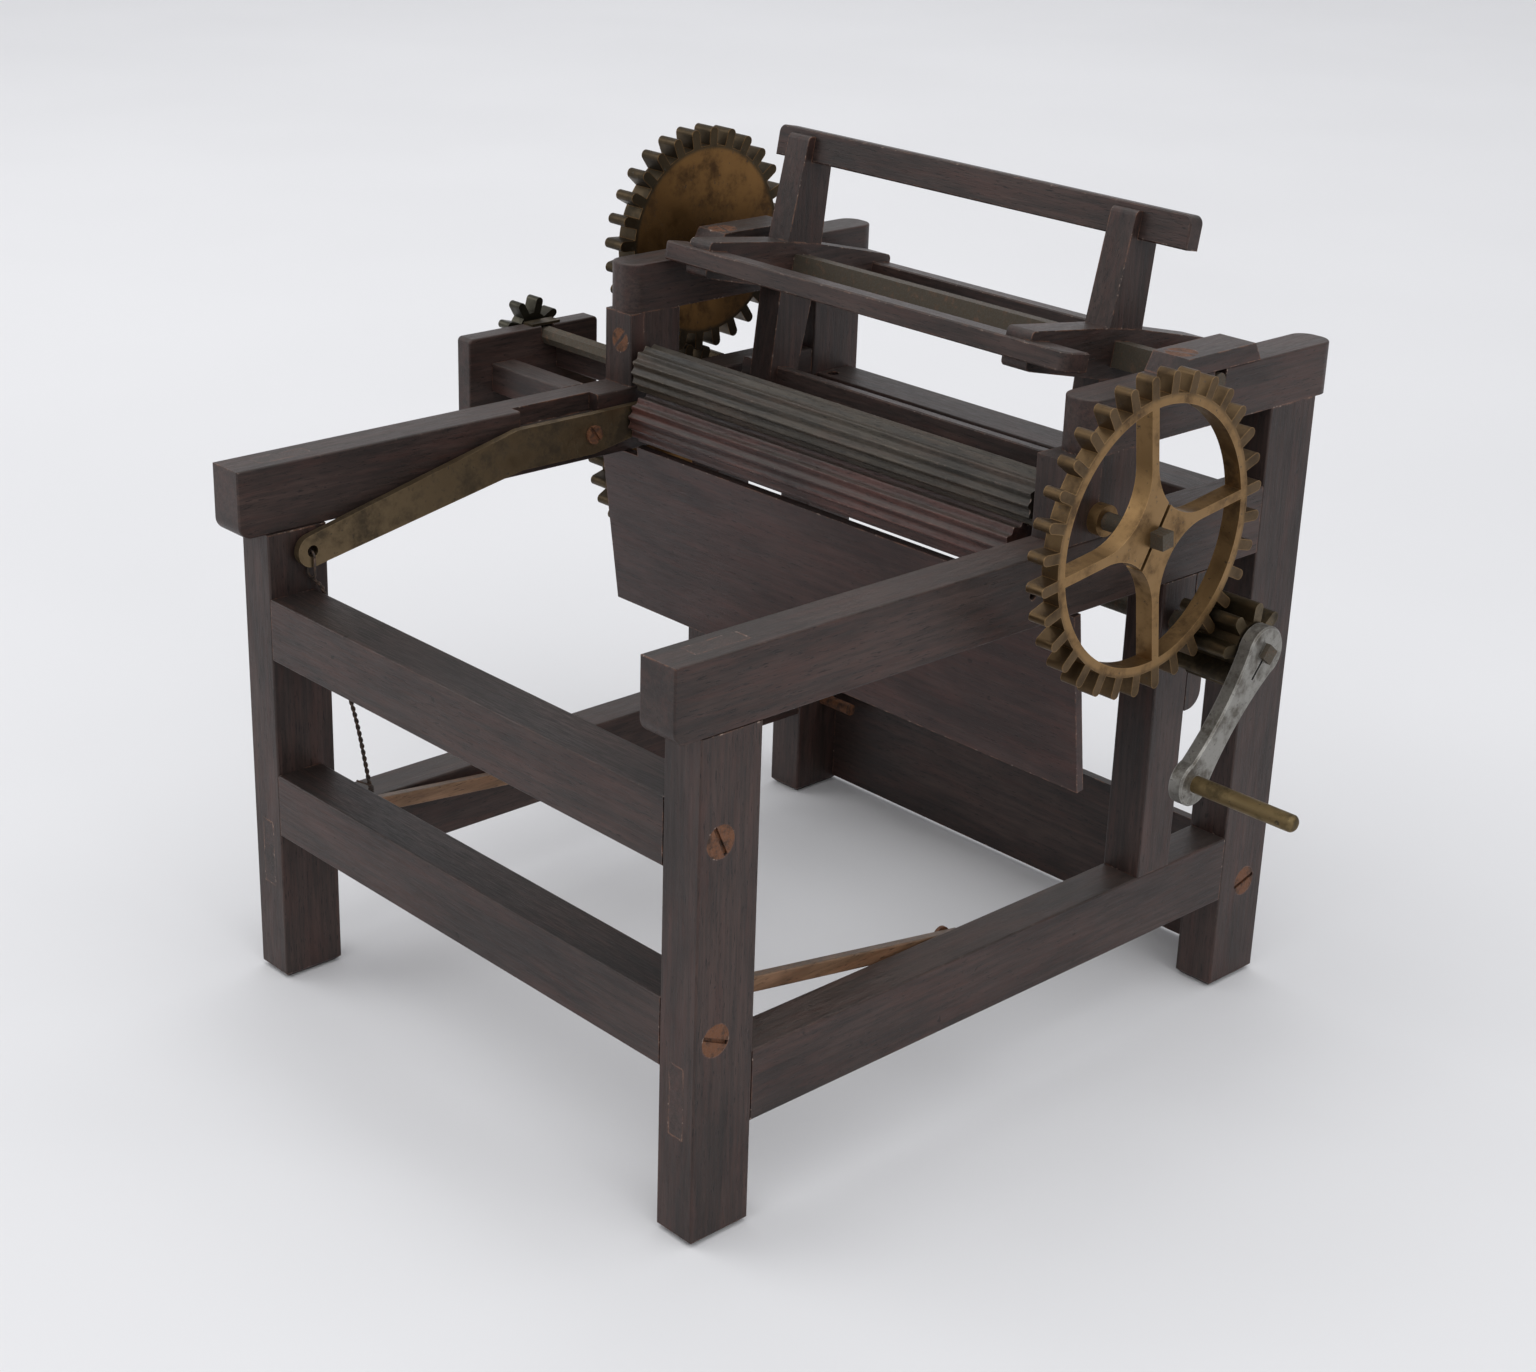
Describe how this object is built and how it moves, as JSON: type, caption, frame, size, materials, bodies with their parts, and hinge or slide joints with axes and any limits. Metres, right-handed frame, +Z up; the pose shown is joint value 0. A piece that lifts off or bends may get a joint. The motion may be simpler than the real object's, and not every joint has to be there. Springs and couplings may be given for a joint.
{
  "type": "paper crimper",
  "caption": "Bench paper crimper: a hand crank turns two fluted wooden rollers and a four-bar take-up reel through brass gears in a dark timber frame.",
  "frame": {"origin": "middle of the machine's bounding box, on the floor under the feet", "axes": "+X towards the crank side along the roller axes, +Y from the open front to the reel at the back, +Z up"},
  "size_m": [0.298, 0.2394, 0.2293],
  "materials": {
    "dark_wood": "dark stained hardwood, worn and waxed",
    "upper_roller_wood": "grey-brown fluted hardwood",
    "lower_roller_wood": "red-brown fluted hardwood",
    "ash_spring": "pale springy wood, unfinished",
    "aged_brass": "aged brass with brown patina",
    "rusty_iron": "iron with brown rust",
    "iron_wire": "dark thin wire",
    "grey_cast_metal": "grey cast metal, worn"
  },
  "bodies": {
    "frame": {"front_left_post": "dark_wood", "rear_left_post": "dark_wood", "left_side_rail": "dark_wood", "left_stretcher": "dark_wood", "left_crank_post": "dark_wood", "left_upper_post": "dark_wood", "left_bearing_keeper": "dark_wood", "left_cap_rail": "dark_wood", "left_reel_cap": "dark_wood", "front_right_post": "dark_wood", "rear_right_post": "dark_wood", "right_side_rail": "dark_wood", "right_stretcher": "dark_wood", "right_crank_post": "dark_wood", "right_upper_post": "dark_wood", "right_bearing_keeper": "dark_wood", "right_cap_rail": "dark_wood", "right_reel_cap": "dark_wood", "front_upper_rail": "dark_wood", "front_lower_rail": "dark_wood", "rear_upper_rail": "dark_wood", "rear_lower_board": "dark_wood", "crank_bearing_block": "dark_wood", "apron_board": "dark_wood", "bracket_rail": "dark_wood", "bracket_front_arm": "dark_wood", "bracket_rear_arm": "dark_wood", "bracket_strap": "aged_brass", "shaft_bush": "aged_brass", "frame_screws": "rusty_iron", "reel_cap_screws": "rusty_iron", "lever_pivot_screws": "rusty_iron", "spring_stick_screws": "rusty_iron"},
    "crank": {"crank_shaft": "rusty_iron", "leaf_pinion": "aged_brass", "crank_arm": "grey_cast_metal", "crank_handle": "aged_brass", "crank_shaft_gear": "aged_brass"},
    "crimping_roller": {"upper_roller": "upper_roller_wood", "upper_roller_shaft": "rusty_iron", "drive_gear": "aged_brass", "star_pinion": "aged_brass"},
    "reel": {"reel_shaft": "rusty_iron", "reel_gear": "aged_brass", "left_reel_cross_arm_1": "dark_wood", "left_reel_cross_arm_2": "dark_wood", "right_reel_cross_arm_1": "dark_wood", "right_reel_cross_arm_2": "dark_wood", "reel_bar_1": "dark_wood", "reel_bar_2": "dark_wood", "reel_bar_3": "dark_wood", "reel_bar_4": "dark_wood"},
    "pressure_levers": {"left_pressure_lever": "aged_brass", "right_pressure_lever": "aged_brass"},
    "pressure_roller": {"lower_roller": "lower_roller_wood", "lower_roller_axle": "rusty_iron"},
    "left_spring": {"left_spring_stick": "ash_spring"},
    "right_spring": {"right_spring_stick": "ash_spring"},
    "left_pull": {"left_pull_wire": "iron_wire"},
    "right_pull": {"right_pull_wire": "iron_wire"}
  },
  "joints": [
    {"name": "crank_spin", "type": "hinge", "parent": "frame", "child": "crank", "pos_m": [-0.0079, 0.05951, 0.12439], "axis": [1, 0, 0], "continuous": true},
    {"name": "crimping_roller_spin", "type": "hinge", "parent": "frame", "child": "crimping_roller", "pos_m": [-0.0079, 0.0226, 0.1613], "axis": [1, 0, 0], "continuous": true},
    {"name": "reel_spin", "type": "hinge", "parent": "frame", "child": "reel", "pos_m": [-0.0079, 0.06863, 0.18925], "axis": [1, 0, 0], "continuous": true},
    {"name": "pressure_lever_swing", "type": "hinge", "parent": "frame", "child": "pressure_levers", "pos_m": [-0.0079, -0.0004, 0.1455], "axis": [1, 0, 0], "range_deg": [-2.5, 0], "stiffness_Nm_per_rad": 0.3, "springref_deg": 5.73},
    {"name": "pressure_roller_spin", "type": "hinge", "parent": "pressure_levers", "child": "pressure_roller", "pos_m": [-0.0079, 0.0196, 0.14732], "axis": [1, 0, 0], "continuous": true},
    {"name": "left_pull_wire_swing", "type": "hinge", "parent": "pressure_levers", "child": "left_pull", "pos_m": [-0.0876, -0.0994, 0.1304], "axis": [1, 0, 0], "range_deg": [0, 2.5]},
    {"name": "left_spring_bend", "type": "hinge", "parent": "frame", "child": "left_spring", "pos_m": [-0.0876, -0.0074, 0.0404], "axis": [1, 0, 0], "range_deg": [-3.33, 0]},
    {"name": "right_pull_wire_swing", "type": "hinge", "parent": "pressure_levers", "child": "right_pull", "pos_m": [0.0718, -0.0994, 0.1304], "axis": [1, 0, 0], "range_deg": [0, 2.5]},
    {"name": "right_spring_bend", "type": "hinge", "parent": "frame", "child": "right_spring", "pos_m": [0.0718, -0.0074, 0.0444], "axis": [1, 0, 0], "range_deg": [-3.33, 0]}
  ],
  "couplings": [
    {"joint": "crimping_roller_spin", "follows": "crank_spin", "ratio": -0.25},
    {"joint": "pressure_roller_spin", "follows": "crank_spin", "ratio": 0.25},
    {"joint": "reel_spin", "follows": "crank_spin", "ratio": -0.92857},
    {"joint": "left_pull_wire_swing", "follows": "pressure_lever_swing", "ratio": -1},
    {"joint": "left_spring_bend", "follows": "pressure_lever_swing", "ratio": 1.3271},
    {"joint": "right_pull_wire_swing", "follows": "pressure_lever_swing", "ratio": -1},
    {"joint": "right_spring_bend", "follows": "pressure_lever_swing", "ratio": 1.3271}
  ]
}
